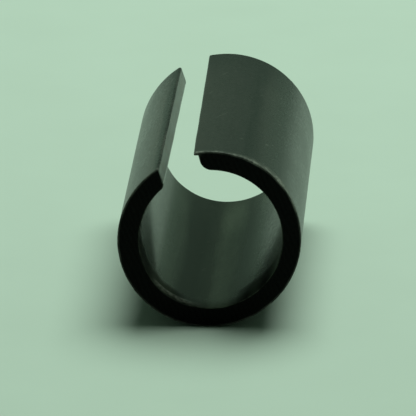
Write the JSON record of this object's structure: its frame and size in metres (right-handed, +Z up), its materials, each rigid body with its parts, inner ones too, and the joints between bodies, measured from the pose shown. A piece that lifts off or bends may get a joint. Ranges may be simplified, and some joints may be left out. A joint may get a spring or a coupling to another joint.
{
  "type": "split sleeve fence insulator",
  "caption": "C-shaped black plastic sleeve, sawn open along its length, that springs over a fence rail or rod and insulates it.",
  "frame": {"origin": "on the bore's axis, half-way along the sleeve", "axes": "+Y along the bore, away from the wider end of the slot; +Z up as the sleeve lies on its side, with the slot facing up and to the -X side: its saw cut is parallel to +Y, leans 14.5 degrees from +Z towards -X and runs 1.6 mm beside the axis"},
  "size_m": [0.0266, 0.0508, 0.0266],
  "materials": {
    "black_plastic": "satin"
  },
  "bodies": {
    "root": {"split_sleeve": "black_plastic"}
  },
  "joints": []
}
